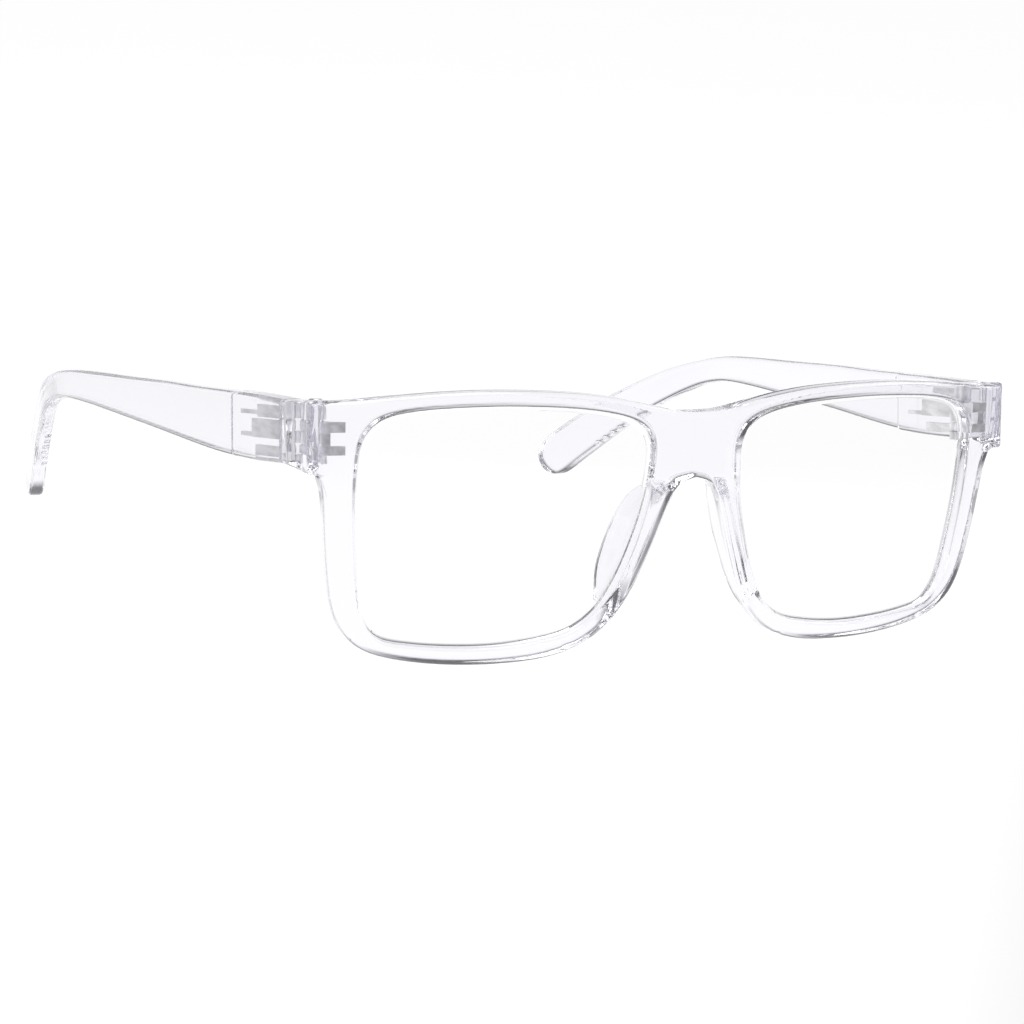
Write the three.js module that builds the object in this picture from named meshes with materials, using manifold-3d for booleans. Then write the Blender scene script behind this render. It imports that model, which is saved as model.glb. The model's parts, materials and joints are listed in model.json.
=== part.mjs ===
// Full-rim eyeglasses in clear plastic: a curved one-piece front with moulded-in nose pads,
// two plano lenses, two temples and a five-knuckle barrel hinge at each end piece.
// Millimetres, +X to the wearer's left, +Y back towards the ears, +Z up.
// Everything is laid out with the temples level; the last lines lean it onto its rest plane.
import * as THREE from 'three';
import { mergeVertices } from 'three/addons/utils/BufferGeometryUtils.js';
import Module from 'manifold-3d';

const wasm = await Module();
wasm.setup();

// ---------- driving dimensions ----------
const gap = 0.3;                 // clearance between separate pieces
const baseRadius = 345;          // spherical curve of the front
const frontThickness = 3.9;
const frontTilt = 9.6;           // degrees, top of the front forward of its bottom
const restPitch = 8.56;          // degrees, temples run down to the plane the tips stand on

const lensThickness = 1.6;
const lensDepth = 1.2;           // front face of the rim to front face of the lens
const lensBead = 0.6;            // how far the lens edge sits inside its groove

const jointY = 12.3;             // plane where temple and end piece meet
const outerX = 72.6;             // outer face at that plane
const innerX = 68;               // inner face of end piece and hinge block
const templeThickness = 3;
const blockEndY = 32.5;          // rear end of the thick hinge block
const rootExtra = 1;             // extra thickness of the temple just behind the block
const rootEndY = 62;             // where that extra thickness has faded away
const gripCount = 6;
const gripRadius = 0.5;
const gripReach = 1.3;           // how far each notch cuts in from the inner face

const pivot = { x: 66.2, y: jointY };
const knuckleRadius = 1.45;
const boreRadius = 0.8;
const screwRadius = 0.55;
const screwHeadRadius = 1.15;
const templeKnuckles = [[11.9, 13.3], [15.2, 17.1], [19.2, 21.7]];
const frontKnuckles = [[13.6, 14.9], [17.4, 18.9]];

const padThickness = 2.6;
const padFlare = 0.27;           // outward travel of the nose-side wall per unit of depth
const flareFade = [-22.5, -8];   // heights between which that travel grows from none to full
const padStart = 3.2;            // depth where the pads grow out of the rim

// ---------- helpers ----------
const radians = THREE.MathUtils.degToRad;

function solid(geometry) {
  const bare = geometry.index ? geometry.toNonIndexed() : geometry.clone();
  bare.deleteAttribute('normal');
  bare.deleteAttribute('uv');
  const merged = mergeVertices(bare, 1e-5);
  return new wasm.Manifold(new wasm.Mesh({
    numProp: 3,
    vertProperties: new Float32Array(merged.attributes.position.array),
    triVerts: new Uint32Array(merged.index.array),
  }));
}

function geometryOf(body) {
  const mesh = body.getMesh();
  const geometry = new THREE.BufferGeometry();
  geometry.setAttribute('position', new THREE.BufferAttribute(mesh.vertProperties, 3));
  geometry.setIndex(new THREE.BufferAttribute(mesh.triVerts, 1));
  geometry.computeVertexNormals();
  return geometry;
}

function joined(bodies) {
  return bodies.reduce((sum, body) => sum.add(body));
}

function curve(points, steps) {
  const through = points.map(([a, b]) => new THREE.Vector2(a, b));
  return new THREE.SplineCurve(through).getPoints(steps);
}

function shapeOf(points) {
  return new THREE.Shape(points.map((p) => (p.isVector2 ? p : new THREE.Vector2(...p))));
}

// a shape drawn in X and Z, extruded along Y from y0 to y1
function extrudeY(shape, y0, y1) {
  const geometry = new THREE.ExtrudeGeometry(shape, { depth: y1 - y0, bevelEnabled: false });
  return geometry.rotateX(Math.PI / 2).translate(0, y1, 0);
}

// a shape drawn in Y and Z, extruded along X from x0 to x1
function extrudeX(shape, x0, x1) {
  const geometry = new THREE.ExtrudeGeometry(shape, { depth: x1 - x0, bevelEnabled: false });
  return geometry.rotateY(Math.PI / 2).rotateX(Math.PI / 2).translate(x0, 0, 0);
}

// a shape drawn in X and Y, extruded along Z from z0 to z1
function extrudeZ(shape, z0, z1) {
  const geometry = new THREE.ExtrudeGeometry(shape, { depth: z1 - z0, bevelEnabled: false });
  return geometry.translate(0, 0, z0);
}

function block(x0, x1, y0, y1, z0, z1) {
  const geometry = new THREE.BoxGeometry(x1 - x0, y1 - y0, z1 - z0);
  return geometry.translate((x0 + x1) / 2, (y0 + y1) / 2, (z0 + z1) / 2);
}

function upright(radius, z0, z1, segments = 24) {
  const geometry = new THREE.CylinderGeometry(radius, radius, z1 - z0, segments);
  return geometry.rotateX(Math.PI / 2).translate(pivot.x, pivot.y, (z0 + z1) / 2);
}

// the mirror image across the middle plane, with its faces turned to point out again
function mirrored(geometry) {
  const flipped = (geometry.index ? geometry.toNonIndexed() : geometry.clone()).scale(-1, 1, 1);
  const place = flipped.attributes.position;
  for (let i = 0; i < place.count; i += 3) {
    const kept = new THREE.Vector3().fromBufferAttribute(place, i + 1);
    place.setXYZ(i + 1, place.getX(i + 2), place.getY(i + 2), place.getZ(i + 2));
    place.setXYZ(i + 2, kept.x, kept.y, kept.z);
  }
  return flipped;
}

// the layer between two depths behind the curved front face
function shell(depth0, depth1) {
  const reach = 82;
  const rings = 11;
  const profile = [];
  const onSphere = (depth, r) => new THREE.Vector2(
    r, baseRadius - Math.sqrt((baseRadius - depth) ** 2 - r ** 2));
  for (let i = 0; i <= rings; i += 1) profile.push(onSphere(depth0, (reach * i) / rings));
  for (let i = rings; i >= 0; i -= 1) profile.push(onSphere(depth1, (reach * i) / rings));
  return solid(new THREE.LatheGeometry(profile, 36));
}

// ---------- front ----------
// lens opening of the wearer's left side, seen from the front
const openingPoints = [
  [9, 13.8], [11, 17], [15.5, 18.9], [23.5, 20.1], [33.7, 20.6], [43.2, 20.5], [53, 19.8],
  [59, 18.3], [61.9, 15.2], [62.6, 10.5], [62.3, 1.5], [60.7, -11], [59.2, -16], [56.4, -18.7],
  [51, -19.8], [44, -20.4], [36, -20.5], [28, -19.7], [21.8, -18.2], [17.4, -15], [14.8, -11],
  [12.4, -5.5], [10, 2.5], [9, 9],
];
const middle = new THREE.Vector2(35.8, 0);
const halfWidth = 26.8;
const halfHeight = 20.5;

function opening(growth) {
  const loop = new THREE.SplineCurve(
    [...openingPoints, openingPoints[0]].map(([x, z]) => new THREE.Vector2(x, z)));
  const grown = loop.getPoints(60).slice(0, -1).map((p) => new THREE.Vector2(
    middle.x + (p.x - middle.x) * (1 + growth / halfWidth),
    p.y * (1 + growth / halfHeight)));
  return shapeOf(grown.reverse());
}

const topEdge = curve([[0, 19.3], [4, 19.5], [8, 20.2], [12, 21], [17, 21.9], [24, 22.7],
  [33, 23.1], [42, 23.1], [50, 22.7], [58, 22], [65, 21.3], [71.4, 21]], 22);
const endPiece = [[71.4, 9.8], [70.6, 9.6]];
const outerEdge = curve([[69.1, 8.6], [68.2, 6], [67.6, 2], [66.7, -5], [65.4, -12],
  [63.6, -16.5], [60.8, -19.5], [56.8, -21.4], [50, -22.8], [42, -23.5], [34, -23.5], [27, -22.9],
  [21.5, -21.6]], 34);
const noseEdge = curve([[21.5, -21.6], [17, -19.1], [13.2, -15.4], [10.6, -11], [9, -7.2],
  [7.3, -2.8], [5.7, 1.8], [4.5, 4.8], [3, 6.9], [0, 7.9]], 22);
const leftHalf = [...topEdge, ...endPiece.map((p) => new THREE.Vector2(...p)), ...outerEdge,
  new THREE.Vector2(0, -21.6)];
const rightHalf = leftHalf.slice(1, -1).reverse().map((p) => new THREE.Vector2(-p.x, p.y));
const outline = shapeOf([...leftHalf, ...rightHalf].reverse());

function tilted(geometry) {
  return geometry.rotateX(radians(frontTilt));
}

// leans the walls of an extruded outline so that they stand square to the curved face
function squared(geometry) {
  const place = geometry.attributes.position;
  for (let i = 0; i < place.count; i += 1) {
    const [x, y, z] = [place.getX(i), place.getY(i), place.getZ(i)];
    const depth = y - (x ** 2 + z ** 2) / (2 * baseRadius);
    const shrink = 1 - depth / baseRadius;
    place.setXYZ(i, x * shrink, y, z * shrink);
  }
  return geometry;
}

function frontLayer(shape, depth0, depth1) {
  return solid(squared(extrudeY(shape, -5, 25))).intersect(shell(depth0, depth1));
}

function bothSides(geometry) {
  return solid(geometry.clone()).add(solid(mirrored(geometry)));
}

// moves a wall outward with depth, fading to nothing below the pads and at the middle
function flared(geometry) {
  const place = geometry.attributes.position;
  for (let i = 0; i < place.count; i += 1) {
    const fade = THREE.MathUtils.smoothstep(place.getZ(i), ...flareFade);
    const share = THREE.MathUtils.clamp(place.getX(i) / 3, -1, 1);
    place.setX(i, place.getX(i) + share * fade * padFlare * place.getY(i));
  }
  return geometry;
}

// the space for the nose, from the bridge arch down past the rims
function noseGap() {
  const left = [...noseEdge].reverse();
  const floor = [[26, -30], [-26, -30]].map((p) => new THREE.Vector2(...p));
  const right = noseEdge.slice(0, -1).map((p) => new THREE.Vector2(-p.x, p.y));
  return solid(flared(extrudeY(shapeOf([...left, ...floor, ...right].reverse()), -6, 16)));
}

// nose pad: a strip behind the nasal side of the rim, trimmed to a rounded lobe
function nosePad() {
  const edge = noseEdge.filter((p) => p.x > 3.5);
  const wall = edge.map((p) => new THREE.Vector2(p.x + padThickness, p.y));
  const inside = edge.map((p) => new THREE.Vector2(p.x - 2, p.y)).reverse();
  const strip = solid(flared(extrudeY(shapeOf([...wall, ...inside].reverse()), 0, 14)));
  const lobe = curve([[2, 8], [padStart, 7.9], [5, 7.1], [7, 5.6], [8.7, 2.8], [9.4, -1],
    [9.4, -5], [8.6, -9.4], [6.8, -13.4], [4.9, -16], [padStart, -17.6], [2, -18.4]], 24);
  const side = solid(extrudeX(shapeOf(lobe.reverse()), 0, 30));
  return geometryOf(strip.intersect(side).intersect(shell(padStart, 16)));
}

// end piece: runs back from the front's corner to the joint plane
function endBlock() {
  const joint = jointY - gap / 2;
  const plan = shapeOf([[innerX - 0.6, 7.2], [71.4, 7.2], [71.7, 9], [outerX, joint],
    [innerX, joint], [innerX, 8.6]]);
  const side = shapeOf([[7.2, 10.9], [joint, 12], [joint, 22.4], [7.2, 22.3]]);
  return geometryOf(solid(extrudeZ(plan, 8, 25)).intersect(solid(extrudeX(side, 60, 80))));
}

// ---------- hinge leaves ----------
const legs = [[13.5, 15], [17.2, 18.9]];         // flat legs sunk in the front
const plates = [[12.8, 14.5, 23.6], [15.7, 18.8, 24.9], [19.1, 21.2, 22.9]];
const tails = [[15.8, 16.5], [19.5, 20.2]];      // thin ends of the two upper plates
const tailEndY = 29;

// two flat legs side by side and the web that joins them
function frontLeafBody(extra) {
  const web = solid(block(66.2 - extra, 67.6 + extra, 7.8 - extra, 9 + extra,
    13.5 - extra, 18.9 + extra));
  const sunk = legs.map(([z0, z1]) => solid(block(64.2 - extra, 67.6 + extra,
    6.2 - extra, 9 + extra, z0 - extra, z1 + extra)));
  return joined([web, ...sunk]);
}

function frontLeaf() {
  const knuckles = frontKnuckles.flatMap(([z0, z1]) => [
    solid(upright(knuckleRadius, z0, z1)),
    solid(block(pivot.x - 1.1, pivot.x + 1.1, 8.4, pivot.y - 0.7, z0, z1)),
  ]);
  return joined([frontLeafBody(0), ...knuckles])
    .subtract(solid(upright(boreRadius, 10, 24)));
}

// one plate behind each knuckle, joined by a web at their front ends
function templeLeafBody(extra) {
  const face = innerX - 0.1 - extra;
  const web = solid(block(face, 68.8 + extra, 13.3 - extra, 15.5 + extra,
    12.8 - extra, 21.2 + extra));
  const sunk = plates.map(([z0, z1, y1]) => solid(block(face, 69.3 + extra,
    13.3 - extra, y1 + extra, z0 - extra, z1 + extra)));
  const ends = tails.map(([z0, z1]) => solid(block(face, 69 + extra, 20,
    tailEndY + extra, z0 - extra, z1 + extra)));
  return joined([web, ...sunk, ...ends]);
}

function templeLeaf() {
  const knuckles = templeKnuckles.flatMap(([z0, z1]) => [
    solid(upright(knuckleRadius, z0, z1)),
    solid(extrudeZ(shapeOf([[pivot.x - 0.9, pivot.y + 0.9], [pivot.x + 0.9, pivot.y + 0.6],
      [innerX, 13.4], [innerX, 16], [pivot.x + 0.4, 14.6]]), z0, z1)),
  ]);
  return joined([templeLeafBody(0), ...knuckles])
    .subtract(solid(upright(boreRadius, 10, 24)));
}

function screw() {
  const profile = [[0, 11.7], [screwRadius, 11.7], [screwRadius, 22], [screwHeadRadius, 22],
    [screwHeadRadius, 22.2], [0.95, 22.35], [0, 22.35]].map(([r, z]) => new THREE.Vector2(r, z));
  const turned = new THREE.LatheGeometry(profile, 24).rotateX(Math.PI / 2);
  const slot = block(-1.4, 1.4, -0.15, 0.15, 22.15, 23);
  const body = solid(turned).subtract(solid(slot));
  return geometryOf(body).translate(pivot.x, pivot.y, 0);
}

// ---------- temple ----------
const templeTop = [[jointY + gap / 2, 22.4], [22, 22.9], [32, 23.2], [44, 23.5], [56, 24],
  [70, 24.3], [82, 24.6], [92, 24.7], [99, 24.3], [104, 23.5], [109, 22.5], [114, 21.1],
  [119, 19.2], [125, 16.7], [131, 13.8], [137, 10.5], [141.5, 7.9], [145.6, 5.2]];
const templeEnd = [[146.9, 2.9], [146.6, 0.3], [144.8, -1.7], [142, -2.2]];
const templeBottom = [[138.9, -0.5], [135.5, 1.8], [130, 5.4], [124, 9.2], [118.5, 12.3],
  [113.5, 14.8], [108.5, 16.9], [103, 18.6], [97, 19.4], [92, 19.3], [85, 18.7], [76, 17.7],
  [65, 16.4], [55, 15.2], [44, 13.8], [34, 12.7], [22, 12], [jointY + gap / 2, 12]];
const gripStart = [121, 10.9];
const gripEnd = [130.5, 5.1];

const outerPlan = [[outerX, jointY + gap / 2], [73.3, 35], [74.1, 60], [74.8, 85], [75, 97],
  [74.4, 104], [73, 110.5], [70.2, 119], [66.7, 130], [63.4, 140], [59.8, 152]];

function temple() {
  const side = shapeOf(curve([...templeTop, ...templeEnd, ...templeBottom], 80).reverse());
  const outer = curve(outerPlan, 26);
  const inner = outer.map((p, i) => {
    const along = outer[Math.min(i + 1, outer.length - 1)].clone()
      .sub(outer[Math.max(i - 1, 0)]).normalize();
    const fade = 1 - THREE.MathUtils.smoothstep(p.y, blockEndY, rootEndY);
    const thickness = templeThickness + rootExtra * fade;
    return new THREE.Vector2(p.x - along.y * thickness, p.y + along.x * thickness);
  }).filter((p) => p.y > blockEndY + 2);
  const thin = inner[0].x;
  const plan = shapeOf([...outer, ...inner.reverse(), [thin, blockEndY + 1.2],
    [innerX + 0.4, blockEndY], [innerX, blockEndY - 0.8], [innerX, jointY + gap / 2]]);
  let body = solid(extrudeX(side, 50, 80)).intersect(solid(extrudeZ(plan, -10, 30)));
  for (let i = 0; i < gripCount; i += 1) {
    const share = i / (gripCount - 1);
    const y = THREE.MathUtils.lerp(gripStart[0], gripEnd[0], share);
    const z = THREE.MathUtils.lerp(gripStart[1], gripEnd[1], share);
    const nearest = outer.reduce((a, b) => (Math.abs(b.y - y) < Math.abs(a.y - y) ? b : a));
    const notch = new THREE.CylinderGeometry(gripRadius, gripRadius, 6, 10);
    const tip = nearest.x - templeThickness + gripReach;
    body = body.subtract(solid(notch.rotateZ(Math.PI / 2).translate(tip - 3, y, z)));
  }
  return body.subtract(templeLeafBody(gap));
}

// ---------- assembly ----------
const clearPlastic = { color: 0xf0effa, roughness: 0.08, metalness: 0, transparent: true, opacity: 0.5 };
const clearLens = { color: 0xfafafe, roughness: 0.02, metalness: 0, transparent: true, opacity: 0.2 };
const hingeSteel = { color: 0x8c8c90, roughness: 0.3, metalness: 1 };

const glasses = new THREE.Group();

function addPiece(parent, name, geometry, look) {
  const mesh = new THREE.Mesh(geometry, new THREE.MeshStandardMaterial(look));
  mesh.name = name;
  parent.add(mesh);
}

function frontFrame() {
  const hole = solid(squared(extrudeY(opening(0), -10, 30)));
  const groove = frontLayer(opening(lensBead + gap), lensDepth - gap,
    lensDepth + lensThickness + gap);
  const cut = geometryOf(hole.add(groove));
  const rim = frontLayer(outline, 0, frontThickness).subtract(bothSides(cut));
  const withPads = rim.add(bothSides(nosePad())).subtract(noseGap());
  const placed = solid(tilted(geometryOf(withPads)));
  return placed.add(bothSides(endBlock())).subtract(bothSides(geometryOf(frontLeafBody(gap))));
}

addPiece(glasses, 'front_frame', geometryOf(frontFrame()), clearPlastic);

const lens = tilted(geometryOf(frontLayer(opening(lensBead), lensDepth, lensDepth + lensThickness)));
const leftPieces = [
  ['lens', lens, clearLens],
  ['front_hinge', geometryOf(frontLeaf()), hingeSteel],
  ['hinge_screw', screw(), hingeSteel],
  ['temple', geometryOf(temple()), clearPlastic],
  ['temple_hinge', geometryOf(templeLeaf()), hingeSteel],
];
for (const [name, geometry, look] of leftPieces) {
  addPiece(glasses, `${name}_left`, geometry, look);
  addPiece(glasses, `${name}_right`, mirrored(geometry), look);
}

// lean the glasses until rims and tips stand on the plane z = 0, centred over the origin
glasses.rotation.x = -radians(restPitch);
glasses.updateMatrixWorld(true);
const root = new THREE.Group();
root.add(glasses);
const bounds = new THREE.Box3().setFromObject(root, true);
glasses.position.set(0, -(bounds.min.y + bounds.max.y) / 2, -bounds.min.z);

export default root;
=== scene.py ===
"""Clear plastic eyeglasses: smooth moulded front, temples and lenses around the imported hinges."""
import json
import math

import bpy
import numpy as np
from mathutils import Matrix, Vector


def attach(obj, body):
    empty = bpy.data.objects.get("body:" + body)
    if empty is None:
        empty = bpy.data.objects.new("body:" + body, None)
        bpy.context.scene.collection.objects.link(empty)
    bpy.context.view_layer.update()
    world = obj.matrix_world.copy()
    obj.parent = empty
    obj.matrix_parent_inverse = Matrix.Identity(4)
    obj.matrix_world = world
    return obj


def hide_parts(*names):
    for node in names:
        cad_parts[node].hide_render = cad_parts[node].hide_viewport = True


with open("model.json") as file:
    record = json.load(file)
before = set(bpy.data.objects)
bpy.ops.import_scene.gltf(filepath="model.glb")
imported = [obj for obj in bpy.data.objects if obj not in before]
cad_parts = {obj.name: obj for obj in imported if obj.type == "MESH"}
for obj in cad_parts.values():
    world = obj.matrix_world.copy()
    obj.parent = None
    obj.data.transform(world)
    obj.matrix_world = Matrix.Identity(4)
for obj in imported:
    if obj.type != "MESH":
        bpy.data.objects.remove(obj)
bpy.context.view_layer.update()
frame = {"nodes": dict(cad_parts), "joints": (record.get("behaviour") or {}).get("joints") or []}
MM = 0.001                       # metres in a millimetre

# ---------- sizes, in millimetres, in the frame where the temples are level ----------
HINGE = (66.2, 12.3, 17.0)       # a point on the left hinge axis
BASE_RADIUS = 345.0
FRONT_THICKNESS = 3.9
FRONT_TILT = math.radians(9.6)
LENS_THICKNESS = 1.6
LENS_DEPTH = 1.2
SEAT_GAP = 0.06                  # air between the lens edge and the rim

PAD_THICKNESS = 2.6
PAD_FLARE = 0.27
FLARE_FADE = (-22.5, -8.0)       # heights between which the flare grows from none to full
PAD_START = 3.2

JOINT_Y = 12.3
JOINT_GAP = 0.3
INNER_X = 68.0
TEMPLE_THICKNESS = 3.0
BLOCK_END_Y = 32.5
ROOT_EXTRA = 1.0                 # extra thickness of the temple just behind its block
ROOT_END_Y = 62.0
GRIP_COUNT = 6
GRIP_RADIUS = 0.5
GRIP_REACH = 1.3

# ---------- radii of rounded edges and fillets, in millimetres ----------
RIM_ROUND = 0.9
OPENING_ROUND = 0.6
BLOCK_ROUND = 0.5
BLOCK_FILLET = 0.5
BLOCK_JOINT_ROUND = 0.2
PAD_ROUND = 1.1
PAD_FILLET = 1.0
NOSE_ROUND = 0.9
TEMPLE_ROUND = 0.8
TEMPLE_JOINT_ROUND = 0.25
TEMPLE_STEP_ROUND = 0.25
NOTCH_ROUND = 0.15
METAL_BEVEL = 0.12

# ---------- grid steps for the moulded pieces, in millimetres ----------
FRONT_STEP = 0.3
TEMPLE_STEP = (0.3, 0.36, 0.3)   # across, along, up

# ---------- outlines, in millimetres ----------
OPENING = [
    (9, 13.8), (11, 17), (15.5, 18.9), (23.5, 20.1), (33.7, 20.6), (43.2, 20.5), (53, 19.8),
    (59, 18.3), (61.9, 15.2), (62.6, 10.5), (62.3, 1.5), (60.7, -11), (59.2, -16), (56.4, -18.7),
    (51, -19.8), (44, -20.4), (36, -20.5), (28, -19.7), (21.8, -18.2), (17.4, -15), (14.8, -11),
    (12.4, -5.5), (10, 2.5), (9, 9),
]
LENS_MIDDLE = np.array([35.8, 0.0])
LENS_HALF = np.array([26.8, 20.5])
TOP_EDGE = [
    (0, 19.3), (4, 19.5), (8, 20.2), (12, 21), (17, 21.9), (24, 22.7), (33, 23.1), (42, 23.1),
    (50, 22.7), (58, 22), (65, 21.3), (71.4, 21),
]
OUTER_EDGE = [
    (69.1, 8.6), (68.2, 6), (67.6, 2), (66.7, -5), (65.4, -12), (63.6, -16.5), (60.8, -19.5),
    (56.8, -21.4), (50, -22.8), (42, -23.5), (34, -23.5), (27, -22.9), (21.5, -21.6),
]
NOSE_EDGE = [
    (21.5, -21.6), (17, -19.1), (13.2, -15.4), (10.6, -11), (9, -7.2), (7.3, -2.8), (5.7, 1.8),
    (4.5, 4.8), (3, 6.9), (0, 7.9),
]
PAD_LOBE = [
    (2, 8), (3.2, 7.9), (5, 7.1), (7, 5.6), (8.7, 2.8), (9.4, -1), (9.4, -5), (8.6, -9.4),
    (6.8, -13.4), (4.9, -16), (3.2, -17.6), (2, -18.4),
]
BLOCK_PLAN = [(67.4, 5), (71.4, 5), (71.4, 7.2), (71.7, 9), (72.84, 13), (68, 13), (68, 8.6)]
BLOCK_SIDE = [(5, 10.4), (7.2, 10.9), (13, 12.2), (13, 22.4), (7.2, 22.3), (5, 22.3)]
TEMPLE_TOP = [
    (12.45, 22.4), (22, 22.9), (32, 23.2), (44, 23.5), (56, 24), (70, 24.3), (82, 24.6),
    (92, 24.7), (99, 24.3), (104, 23.5), (109, 22.5), (114, 21.1), (119, 19.2), (125, 16.7),
    (131, 13.8), (137, 10.5), (141.5, 7.9), (145.6, 5.2),
]
TEMPLE_END = [(146.9, 2.9), (146.6, 0.3), (144.8, -1.7), (142, -2.2)]
TEMPLE_BOTTOM = [
    (138.9, -0.5), (135.5, 1.8), (130, 5.4), (124, 9.2), (118.5, 12.3), (113.5, 14.8),
    (108.5, 16.9), (103, 18.6), (97, 19.4), (92, 19.3), (85, 18.7), (76, 17.7), (65, 16.4),
    (55, 15.2), (44, 13.8), (34, 12.7), (22, 12), (12.45, 12),
]
GRIP_START = (121, 10.9)
GRIP_END = (130.5, 5.1)
TEMPLE_PLAN = [
    (72.6, 12.45), (73.3, 35), (74.1, 60), (74.8, 85), (75, 97), (74.4, 104), (73, 110.5),
    (70.2, 119), (66.7, 130), (63.4, 140), (59.8, 152),
]

# ---------- from the level frame to the row frame ----------
JOINT = frame["joints"][0]
PITCH = math.atan2(JOINT["axis"][1], JOINT["axis"][2])
PIVOT = [v / MM for v in JOINT["pos_m"]]
COS, SIN = math.cos(PITCH), math.sin(PITCH)
SHIFT_Y = PIVOT[1] - (HINGE[1] * COS + HINGE[2] * SIN)
SHIFT_Z = PIVOT[2] - (HINGE[2] * COS - HINGE[1] * SIN)


def to_row(points):
    """Millimetres in the level frame to metres in the row frame."""
    x, y, z = points.T
    return MM * np.c_[x, y * COS + z * SIN + SHIFT_Y, z * COS - y * SIN + SHIFT_Z]


def tilt(points):
    """From the front's own upright frame to the level frame."""
    x, y, z = points.T
    c, s = math.cos(FRONT_TILT), math.sin(FRONT_TILT)
    return np.c_[x, y * c - z * s, y * s + z * c]


def bowed(points):
    """(across, up, depth behind the curved face) to the front's own upright frame."""
    u, w, depth = points.T
    x, z = u * (1 - depth / BASE_RADIUS), w * (1 - depth / BASE_RADIUS)
    return np.c_[x, depth + (x * x + z * z) / (2 * BASE_RADIUS), z]


# ---------- curves and distances ----------
def spline(points, per=16, closed=False):
    """A smooth curve through the points."""
    p = np.array(points, float)
    n = len(p)
    if closed:
        before, start, end, after = np.roll(p, 1, 0), p, np.roll(p, -1, 0), np.roll(p, -2, 0)
    else:
        start, end = p[:-1], p[1:]
        before, after = np.r_[p[:1], p[:-2]], np.r_[p[2:], p[-1:]]
    t = np.linspace(0, 1, per, endpoint=False)[None, :, None]
    a, b, c, d = (q[:, None, :] for q in (before, start, end, after))
    out = 0.5 * (2 * b + (c - a) * t + (2 * a - 5 * b + 4 * c - d) * t ** 2
                 + (3 * b - a - 3 * c + d) * t ** 3)
    out = out.reshape(-1, 2)
    return out if closed else np.r_[out, p[n - 1:]]


def eased(curve, reach, closed=False):
    """The same curve at even steps, with ripples shorter than reach taken out."""
    p = np.r_[curve, curve[:1]] if closed else curve
    run = np.r_[0, np.cumsum(np.hypot(*np.diff(p, axis=0).T))]
    count = int(run[-1] / 0.25)
    even = np.linspace(0, run[-1], count + 1)
    q = np.c_[np.interp(even, run, p[:, 0]), np.interp(even, run, p[:, 1])]
    k = int(3 * reach / 0.25)
    weight = np.exp(-0.5 * (np.arange(-k, k + 1) * 0.25 / reach) ** 2)
    weight /= weight.sum()
    if closed:
        q = q[:-1]
        padded = np.r_[q[-k:], q, q[:k]]
    else:
        padded = np.r_[2 * q[0] - q[k:0:-1], q, 2 * q[-1] - q[-2:-k - 2:-1]]
    smooth = np.c_[[np.convolve(padded[:, i], weight, "valid") for i in (0, 1)]].T
    return smooth


def outline_distance(loop, a, b):
    """Distance from each point (a, b) to a closed outline, negative inside."""
    loop = np.array(loop, float)
    shape = a.shape
    a, b = a.ravel().astype(np.float32), b.ravel().astype(np.float32)
    nearest = np.full(a.shape, 1e9, np.float32)
    inside = np.zeros(a.shape, bool)
    for (ax, ay), (bx, by) in zip(loop, np.roll(loop, -1, 0)):
        ex, ey = bx - ax, by - ay
        length = ex * ex + ey * ey
        if length < 1e-12:
            continue
        px, py = a - ax, b - ay
        t = np.clip((px * ex + py * ey) / length, 0, 1)
        nearest = np.minimum(nearest, (px - t * ex) ** 2 + (py - t * ey) ** 2)
        if ey:
            crossed = (ay > b) != (by > b)
            inside ^= crossed & (a < ax + ex * (b - ay) / ey)
    away = np.sqrt(nearest)
    return np.where(inside, -away, away).reshape(shape)


def both(a, b, r):
    """Where two solids overlap, with the edge between them rounded to radius r."""
    return (np.minimum(np.maximum(a, b), -r)
            + np.hypot(np.maximum(a + r, 0), np.maximum(b + r, 0)))


def either(a, b, r):
    """Two solids as one, with a hollow fillet of radius r between them."""
    return -both(-a, -b, r)


def slab(value, low, high):
    return np.maximum(low - value, value - high)


def smoothstep(value, low, high):
    t = np.clip((value - low) / (high - low), 0, 1)
    return t * t * (3 - 2 * t)


# ---------- from a distance field to a mesh ----------
def sample(field, p):
    """The field between its grid points, at p in grid steps."""
    top = np.array(field.shape) - 1.001
    p = np.clip(p, 0, top)
    i = p.astype(int)
    t = p - i
    total = 0
    for dx in (0, 1):
        for dy in (0, 1):
            for dz in (0, 1):
                weight = (np.abs(1 - dx - t[:, 0]) * np.abs(1 - dy - t[:, 1])
                          * np.abs(1 - dz - t[:, 2]))
                total = total + weight * field[i[:, 0] + dx, i[:, 1] + dy, i[:, 2] + dz]
    return total


def slopes(field, points):
    """How fast the field changes at the points, per grid step along each axis."""
    return np.c_[[sample(field, points + 0.5 * e) - sample(field, points - 0.5 * e)
                  for e in np.eye(3)]].T


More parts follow.
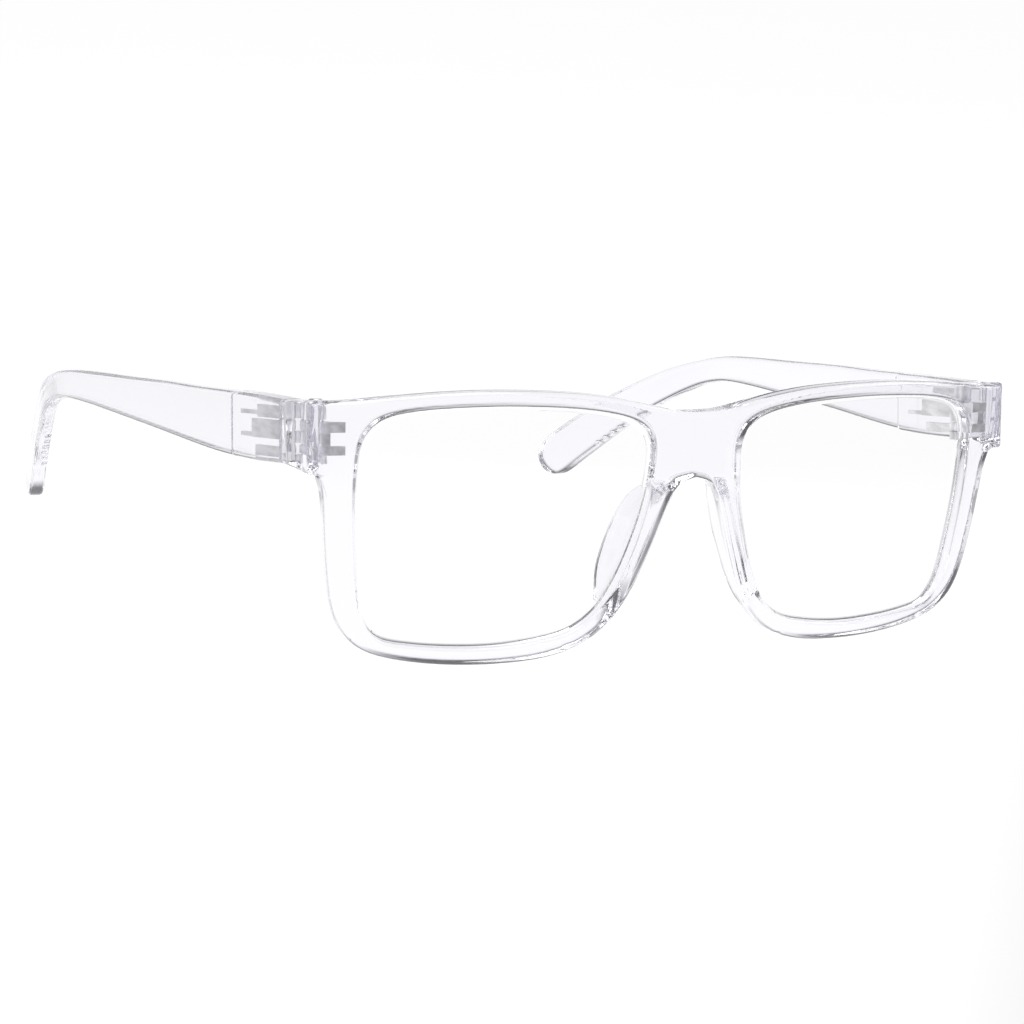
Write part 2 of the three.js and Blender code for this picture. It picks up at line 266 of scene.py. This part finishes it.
def skin(field, start, step):
    """Vertices, quads and outward directions of the surface where the field is zero."""
    inside = field < 0
    count = sum(inside[x:x - 1 or None, y:y - 1 or None, z:z - 1 or None].astype(np.int8)
                for x in (0, 1) for y in (0, 1) for z in (0, 1))
    active = (count > 0) & (count < 8)
    cells = np.argwhere(active)
    number = np.full(active.shape, -1, np.int64)
    number[active] = np.arange(len(cells))
    place = np.zeros((len(cells), 3))
    hits = np.zeros(len(cells))
    corners = [np.array([x, y, z]) for x in (0, 1) for y in (0, 1) for z in (0, 1)]
    for a in corners:
        for axis in range(3):
            if a[axis]:
                continue
            b = a + np.eye(3, dtype=int)[axis]
            fa = field[tuple((cells + a).T)]
            fb = field[tuple((cells + b).T)]
            hit = (fa < 0) != (fb < 0)
            t = fa[hit] / (fa[hit] - fb[hit])
            place[hit] += a + t[:, None] * (b - a)
            hits[hit] += 1
    points = cells + place / hits[:, None]
    step = np.array(step, float)
    for _ in range(3):
        value = sample(field, points)
        slope = slopes(field, points) / step
        move = -value[:, None] * slope / np.maximum((slope ** 2).sum(1), 0.25)[:, None]
        points = points + np.clip(move / step, -0.5, 0.5)
    quads = []
    for axis in range(3):
        one, two = [(1, 2), (2, 0), (0, 1)][axis]
        first = [slice(1, -1)] * 3
        second = [slice(1, -1)] * 3
        first[axis], second[axis] = slice(0, -1), slice(1, None)
        low, high = inside[tuple(first)], inside[tuple(second)]
        edges = np.argwhere(low != high)
        out = low[low != high]
        base = edges + 1
        base[:, axis] -= 1
        ring = []
        for da, db in ((-1, -1), (0, -1), (0, 0), (-1, 0)):
            cell = base.copy()
            cell[:, one] += da
            cell[:, two] += db
            ring.append(number[tuple(cell.T)])
        ring = np.array(ring).T
        ring[~out] = ring[~out, ::-1]
        quads.append(ring)
    outward = slopes(field, points) / step
    return np.array(start) + points * step, np.concatenate(quads), outward


def add_mesh(name, points, faces, body, nodes, material, mirror=False, outward=None):
    """A smooth-shaded piece that rides on a body and stands for CAD nodes."""
    if mirror:
        points = points * (-1, 1, 1)
        faces = [face[::-1] for face in faces]
        outward = None if outward is None else outward * (-1, 1, 1)
    mesh = bpy.data.meshes.new(name)
    mesh.from_pydata(to_row(points).tolist(), [], [tuple(face) for face in faces])
    mesh.shade_smooth()
    if outward is not None:
        x, y, z = (outward / np.linalg.norm(outward, axis=1)[:, None]).T
        turned = np.c_[x, y * COS + z * SIN, z * COS - y * SIN]
        mesh.normals_split_custom_set_from_vertices(turned.tolist())
    mesh.materials.append(material)
    piece = bpy.data.objects.new(name, mesh)
    bpy.context.scene.collection.objects.link(piece)
    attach(piece, body)
    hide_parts(*nodes)


# ---------- materials ----------
def new_material(name):
    material = bpy.data.materials.new(name)
    material.use_nodes = True
    nodes = material.node_tree.nodes
    return material, nodes, material.node_tree.links, nodes["Principled BSDF"]


def let_lamps_through(material, colour):
    """Light from lamps passes straight through, so that clear pieces cast pale shadows."""
    nodes, links = material.node_tree.nodes, material.node_tree.links
    shader, output = nodes["Principled BSDF"], nodes["Material Output"]
    path = nodes.new("ShaderNodeLightPath")
    clear = nodes.new("ShaderNodeBsdfTransparent")
    clear.inputs["Color"].default_value = (*colour, 1)
    mix = nodes.new("ShaderNodeMixShader")
    links.new(path.outputs["Is Shadow Ray"], mix.inputs[0])
    links.new(shader.outputs[0], mix.inputs[1])
    links.new(clear.outputs[0], mix.inputs[2])
    links.new(mix.outputs[0], output.inputs["Surface"])


def moulded_plastic():
    material, nodes, links, shader = new_material("clear_plastic")
    shader.inputs["Base Color"].default_value = (0.965, 0.957, 0.99, 1)
    shader.inputs["Transmission Weight"].default_value = 1
    shader.inputs["IOR"].default_value = 1.49
    place = nodes.new("ShaderNodeTexCoord")
    ripple = nodes.new("ShaderNodeTexNoise")
    ripple.inputs["Scale"].default_value = 160
    ripple.inputs["Detail"].default_value = 2
    links.new(place.outputs["Object"], ripple.inputs["Vector"])
    bump = nodes.new("ShaderNodeBump")
    bump.inputs["Strength"].default_value = 0.2
    bump.inputs["Distance"].default_value = 0.00012
    links.new(ripple.outputs["Fac"], bump.inputs["Height"])
    links.new(bump.outputs["Normal"], shader.inputs["Normal"])
    haze = nodes.new("ShaderNodeMapRange")
    haze.inputs["To Min"].default_value = 0.01
    haze.inputs["To Max"].default_value = 0.05
    links.new(ripple.outputs["Fac"], haze.inputs["Value"])
    links.new(haze.outputs["Result"], shader.inputs["Roughness"])
    let_lamps_through(material, (0.93, 0.925, 0.96))
    body = nodes.new("ShaderNodeVolumeAbsorption")
    body.inputs["Color"].default_value = (0.8, 0.8, 0.84, 1)
    body.inputs["Density"].default_value = 13
    links.new(body.outputs[0], nodes["Material Output"].inputs["Volume"])
    return material


def lens_plastic():
    material, nodes, links, shader = new_material("lens_plastic")
    shader.inputs["Base Color"].default_value = (0.995, 0.995, 1, 1)
    shader.inputs["Transmission Weight"].default_value = 1
    shader.inputs["IOR"].default_value = 1.5
    shader.inputs["Roughness"].default_value = 0.0
    let_lamps_through(material, (0.97, 0.97, 0.98))
    return material


def hinge_metal():
    material, nodes, links, shader = new_material("hinge_metal")
    shader.inputs["Metallic"].default_value = 1
    place = nodes.new("ShaderNodeTexCoord")
    stretch = nodes.new("ShaderNodeMapping")
    stretch.inputs["Scale"].default_value = (600, 200, 600)
    links.new(place.outputs["Object"], stretch.inputs["Vector"])
    grain = nodes.new("ShaderNodeTexNoise")
    grain.inputs["Scale"].default_value = 1
    grain.inputs["Detail"].default_value = 3
    links.new(stretch.outputs["Vector"], grain.inputs["Vector"])
    tone = nodes.new("ShaderNodeValToRGB")
    tone.color_ramp.elements[0].position = 0.35
    tone.color_ramp.elements[1].position = 0.6
    tone.color_ramp.elements[0].color = (0.7, 0.7, 0.72, 1)
    tone.color_ramp.elements[1].color = (0.98, 0.98, 0.99, 1)
    links.new(grain.outputs["Fac"], tone.inputs["Fac"])
    links.new(tone.outputs["Color"], shader.inputs["Base Color"])
    rough = nodes.new("ShaderNodeMapRange")
    rough.inputs["To Min"].default_value = 0.22
    rough.inputs["To Max"].default_value = 0.4
    links.new(grain.outputs["Fac"], rough.inputs["Value"])
    links.new(rough.outputs["Result"], shader.inputs["Roughness"])
    return material


PLASTIC = moulded_plastic()
LENS = lens_plastic()
METAL = hinge_metal()


# ---------- front ----------
def opening_loop(growth):
    loop = eased(spline(OPENING, closed=True), 0.7, closed=True)
    return LENS_MIDDLE + (loop - LENS_MIDDLE) * (1 + growth / LENS_HALF)


def fade_flare(x, y, z):
    """Undoes the outward flare of the nose side, so that its flat outline can be used."""
    share = np.clip(x / 3, 0, 1) * smoothstep(z, *FLARE_FADE)
    return x - share * PAD_FLARE * y


def front_field(u, w, depth):
    """Distance to the left half of the front. u across, w up, depth behind the face."""
    flat_u, flat_w = u[:, :, 0], w[:, :, 0]
    rim = np.r_[eased(spline(TOP_EDGE), 0.8), [(71.4, 9.8), (70.6, 9.6)],
                eased(spline(OUTER_EDGE), 0.8), [(-8, -21.6), (-8, 19.3)]]
    outer = outline_distance(rim, flat_u, flat_w)[:, :, None]
    hole = outline_distance(opening_loop(0), flat_u, flat_w)[:, :, None]
    body = both(outer, slab(depth, 0, FRONT_THICKNESS), RIM_ROUND)
    body = both(body, -hole, OPENING_ROUND)

    points = bowed(np.c_[u.ravel(), w.ravel(), depth.ravel()])
    level = tilt(points)
    shape = u.shape
    body = body.ravel()

    # end piece and its step back to the joint plane
    near = points[:, 0] > 58
    x, y, z = level[near].T
    block = both(outline_distance(BLOCK_PLAN, x, y), outline_distance(BLOCK_SIDE, y, z),
                 BLOCK_ROUND)
    block = both(block, y - (JOINT_Y - JOINT_GAP / 2), BLOCK_JOINT_ROUND)
    body[near] = either(body[near], block, BLOCK_FILLET)

    # nose pads, then the space for the nose
    near = points[:, 0] < 28
    x, y, z = points[near].T
    flat = fade_flare(x, y, z)
    edge = eased(spline(NOSE_EDGE), 0.6)
    nose = np.r_[edge, [(-9, 7.9), (-9, -34), (27, -34)]]
    kept = edge[edge[:, 0] > 3]
    wall = np.r_[kept + (PAD_THICKNESS, 0), [(-9, kept[-1, 1]), (-9, -34), (29, -34)]]
    lobe = np.r_[eased(spline(PAD_LOBE), 0.6), [(0, -18.4), (0, 8)]]
    pad = both(outline_distance(wall, flat, z), outline_distance(lobe, y, z), PAD_ROUND)
    pad = np.maximum(pad, PAD_START - depth.ravel()[near])
    body[near] = either(body[near], pad, PAD_FILLET)
    body[near] = both(body[near], -outline_distance(nose, flat, z), NOSE_ROUND)
    return body.reshape(shape)


def make_front():
    u = np.arange(0, 74.4, FRONT_STEP)
    w = np.arange(-25, 25, FRONT_STEP)
    depth = np.arange(-1, 11.8, FRONT_STEP)
    half = front_field(*np.meshgrid(u, w, depth, indexing="ij"))
    field = np.concatenate([half[:0:-1], half])
    points, faces, outward = skin(field, (-u[-1], w[0], depth[0]), (FRONT_STEP,) * 3)
    level = tilt(bowed(points))
    outward = tilt(bowed(points + 0.01 * outward)) - level
    # (across, up, depth) is a left-handed set, so the faces turn over
    add_mesh("front", level, faces[:, ::-1], "front", ["front_frame"],
             PLASTIC, outward=outward)


# ---------- lenses ----------
def make_lens(side):
    loop = opening_loop(-SEAT_GAP)
    loop = loop[::3]
    around = len(loop)
    rings = [0.02, 0.12, 0.25, 0.38, 0.5, 0.62, 0.73, 0.83, 0.91, 0.965, 0.992, 1.0]
    half = LENS_THICKNESS / 2
    layers = [(r, half if r < 1 else half - 0.2) for r in rings]
    layers += [(r, -d) for r, d in reversed(layers)]
    points = []
    for share, offset in layers:
        flat = LENS_MIDDLE + (loop - LENS_MIDDLE) * share
        depth = np.full(around, LENS_DEPTH + half + offset)
        points.append(bowed(np.c_[flat, depth]))
    points = tilt(np.concatenate(points))
    faces = []
    for i in range(len(layers) - 1):
        for j in range(around):
            k = (j + 1) % around
            faces.append((i * around + j, (i + 1) * around + j, (i + 1) * around + k,
                          i * around + k))
    last = (len(layers) - 1) * around
    faces.append(tuple(range(around)))
    faces.append(tuple(range(last + around - 1, last - 1, -1)))
    add_mesh("clear_lens_" + side, points, faces, "front", ["lens_" + side],
             LENS, mirror=side == "right")


# ---------- temples ----------
def make_temples():
    step = TEMPLE_STEP
    inward = np.arange(-0.9, 7.2, step[0])
    y = np.arange(11.2, 148.4, step[1])
    z = np.arange(-3.8, 26.2, step[2])
    plan = eased(spline(TEMPLE_PLAN), 3)
    outer_x = np.interp(y, plan[:, 1], plan[:, 0])
    lean = np.cos(np.arctan(np.gradient(outer_x, y)))
    block = outer_x - INNER_X
    root = ROOT_EXTRA * (1 - smoothstep(y, BLOCK_END_Y, ROOT_END_Y))
    thick = (TEMPLE_THICKNESS + root) / lean
    profile = np.r_[eased(spline(TEMPLE_TOP + TEMPLE_END + TEMPLE_BOTTOM), 1.2),
                    [(JOINT_Y - 1, 12), (JOINT_Y - 1, 22.4)]]
    yy, zz = np.meshgrid(y, z, indexing="ij")
    side = outline_distance(profile, yy, zz)[None]
    t = inward[:, None, None]
    across = slab(t, 0, thick[None, :, None]) * lean[None, :, None]
    step_face = (y - BLOCK_END_Y)[None, :, None]
    across = np.minimum(across, both(slab(t, 0, block[None, :, None]), step_face,
                                     TEMPLE_STEP_ROUND))
    field = both(side, across, TEMPLE_ROUND)
    field = both(field, (JOINT_Y + JOINT_GAP / 2 - yy)[None], TEMPLE_JOINT_ROUND)
    for i in range(GRIP_COUNT):
        share = i / (GRIP_COUNT - 1)
        gy = GRIP_START[0] + share * (GRIP_END[0] - GRIP_START[0])
        gz = GRIP_START[1] + share * (GRIP_END[1] - GRIP_START[1])
        notch = np.hypot(yy - gy, zz - gz)[None] - GRIP_RADIUS
        reach = thick[None, :, None] - GRIP_REACH - t
        field = both(field, -np.maximum(notch, reach), NOTCH_ROUND)
    points, faces, outward = skin(field, (inward[0], y[0], z[0]), step)
    bend = np.interp(points[:, 1], y, np.gradient(outer_x, y))
    outward = np.c_[-outward[:, 0], outward[:, 1] + bend * outward[:, 0], outward[:, 2]]
    points[:, 0] = np.interp(points[:, 1], y, outer_x) - points[:, 0]
    for side_name, mirror in (("left", False), ("right", True)):
        add_mesh("arm_" + side_name, points, faces[:, ::-1], "temple_" + side_name,
                 ["temple_" + side_name], PLASTIC, mirror, outward)


# ---------- hinges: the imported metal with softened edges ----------
def finish_hinges():
    for name, node in frame["nodes"].items():
        if "hinge" not in name:
            continue
        node.data.materials.clear()
        node.data.materials.append(METAL)
        bevel = node.modifiers.new("soft_edges", "BEVEL")
        bevel.width = METAL_BEVEL * MM
        bevel.segments = 2
        bevel.limit_method = "ANGLE"
        bevel.angle_limit = math.radians(40)
        bevel.harden_normals = True


# ---------- studio ----------
POOL_TURN = math.radians(-31)    # painted light: the pool glows from the floor itself by emission and runs along the line of sight
POOL_HALF = 0.09                 # half its width beside the glasses, in metres
POOL_SPREAD = 0.165              # growth of its half width with distance


# the camera, set out in the level frame in millimetres
AZIMUTH, ELEVATION = math.radians(-31.017), math.radians(4.646)
DISTANCE = 528.509
TARGET = np.array([-36.232, 0, 3.449])
FOCAL_LENGTH = 112.785


def make_camera():
    back = np.array([math.sin(AZIMUTH) * math.cos(ELEVATION),
                     -math.cos(AZIMUTH) * math.cos(ELEVATION), math.sin(ELEVATION)])
    right = np.cross(-back, (0, 0, 1))
    right /= np.linalg.norm(right)
    up = np.cross(right, -back)
    origin = to_row(np.zeros((1, 3)))[0]
    place = to_row(np.array([TARGET + DISTANCE * back]))[0]
    turned = [(to_row(v[None])[0] - origin) / MM for v in (right, up, back)]
    camera = bpy.data.objects.new("camera", bpy.data.cameras.new("camera"))
    bpy.context.scene.collection.objects.link(camera)
    camera.matrix_world = Matrix([
        [turned[0][i], turned[1][i], turned[2][i], place[i]] for i in range(3)
    ] + [[0, 0, 0, 1]])
    camera.data.lens = FOCAL_LENGTH
    camera.data.clip_start = 0.02
    camera.data.clip_end = 50
    bpy.context.scene.camera = camera


def add_light(name, place, aim, size, power):
    data = bpy.data.lights.new(name, "AREA")
    data.shape = "RECTANGLE"
    data.size, data.size_y = size
    data.energy = power
    light = bpy.data.objects.new(name, data)
    bpy.context.scene.collection.objects.link(light)
    light.location = place
    light.rotation_euler = (Vector(aim) - Vector(place)).to_track_quat("-Z", "Y").to_euler()


def math_node(nodes, links, operation, *values):
    node = nodes.new("ShaderNodeMath")
    node.operation = operation
    for socket, value in zip(node.inputs, values):
        if isinstance(value, (int, float)):
            socket.default_value = value
        else:
            links.new(value, socket)
    return node.outputs[0]


def make_studio():
    mesh = bpy.data.meshes.new("floor")
    reach = 12
    mesh.from_pydata([(-reach, -reach, -1e-4), (reach, -reach, -1e-4), (reach, reach, -1e-4),
                      (-reach, reach, -1e-4)], [], [(0, 1, 2, 3)])
    floor = bpy.data.objects.new("floor", mesh)
    bpy.context.scene.collection.objects.link(floor)
    material, nodes, links, shader = new_material("floor")
    # the floor's own colour is dark; nearly all of its brightness is painted glow from its emission
    shader.inputs["Base Color"].default_value = (0.08, 0.08, 0.08, 1)
    shader.inputs["Roughness"].default_value = 0.9
    shader.inputs["Specular IOR Level"].default_value = 0
    # painted light: the floor itself glows by emission, in a pool that runs back from the glasses
    # and is painted darker, down to pale grey, at its sides; the darker sides give the clear
    # plastic its dark edges
    place = nodes.new("ShaderNodeTexCoord")
    turn = nodes.new("ShaderNodeVectorRotate")
    turn.rotation_type = "Z_AXIS"
    turn.inputs["Angle"].default_value = -POOL_TURN
    links.new(place.outputs["Object"], turn.inputs["Vector"])
    split = nodes.new("ShaderNodeSeparateXYZ")
    links.new(turn.outputs[0], split.inputs[0])
    offset = math_node(nodes, links, "ABSOLUTE", split.outputs["X"])
    width = math_node(nodes, links, "MULTIPLY_ADD", split.outputs["Y"], POOL_SPREAD, POOL_HALF)
    width = math_node(nodes, links, "MAXIMUM", width, 0.02)
    share = math_node(nodes, links, "DIVIDE", offset, width)
    fade = nodes.new("ShaderNodeMapRange")
    fade.inputs["From Min"].default_value = 1
    fade.inputs["From Max"].default_value = 3.4
    links.new(share, fade.inputs["Value"])
    painted_glow_ramp = nodes.new("ShaderNodeValToRGB")
    painted_glow_ramp.color_ramp.interpolation = "EASE"
    painted_glow_ramp.color_ramp.elements[0].position = 0
    painted_glow_ramp.color_ramp.elements[0].color = (0.97, 0.97, 0.97, 1)
    painted_glow_ramp.color_ramp.elements[1].position = 1
    painted_glow_ramp.color_ramp.elements[1].color = (0.4, 0.4, 0.4, 1)
    middle = painted_glow_ramp.color_ramp.elements.new(0.33)
    middle.color = (0.75, 0.75, 0.75, 1)
    links.new(fade.outputs["Result"], painted_glow_ramp.inputs["Fac"])
    links.new(painted_glow_ramp.outputs["Color"], shader.inputs["Emission Color"])
    shader.inputs["Emission Strength"].default_value = 1
    mesh.materials.append(material)

    world = bpy.data.worlds.new("studio")
    bpy.context.scene.world = world
    world.use_nodes = True
    nodes, links = world.node_tree.nodes, world.node_tree.links
    direction = nodes.new("ShaderNodeTexCoord")
    split = nodes.new("ShaderNodeSeparateXYZ")
    ramp = nodes.new("ShaderNodeValToRGB")
    ramp.color_ramp.elements[0].position = 0.03
    ramp.color_ramp.elements[0].color = (0.9, 0.9, 0.91, 1)
    ramp.color_ramp.elements[1].position = 0.3
    ramp.color_ramp.elements[1].color = (0.12, 0.12, 0.13, 1)
    links.new(direction.outputs["Generated"], split.inputs[0])
    links.new(split.outputs["Z"], ramp.inputs["Fac"])
    links.new(ramp.outputs["Color"], nodes["Background"].inputs["Color"])

    add_light("top", (0.0, -0.1, 1.1), (0, 0, 0), (0.9, 0.9), 8)
    add_light("front_left", (1.2, -0.3, 0.7), (0, 0, 0.02), (0.5, 0.8), 4)
    add_light("front_right", (-0.9, -0.6, 0.6), (0, 0, 0.02), (0.4, 0.8), 3)
    view = bpy.context.scene.view_settings
    view.view_transform = "Standard"
    view.look = "None"
    cycles = bpy.context.scene.cycles
    cycles.max_bounces = 48
    cycles.transmission_bounces = 48
    cycles.glossy_bounces = 48
    cycles.transparent_max_bounces = 24
    cycles.use_denoising = True


make_camera()
make_studio()
make_front()
make_lens("left")
make_lens("right")
make_temples()
finish_hinges()
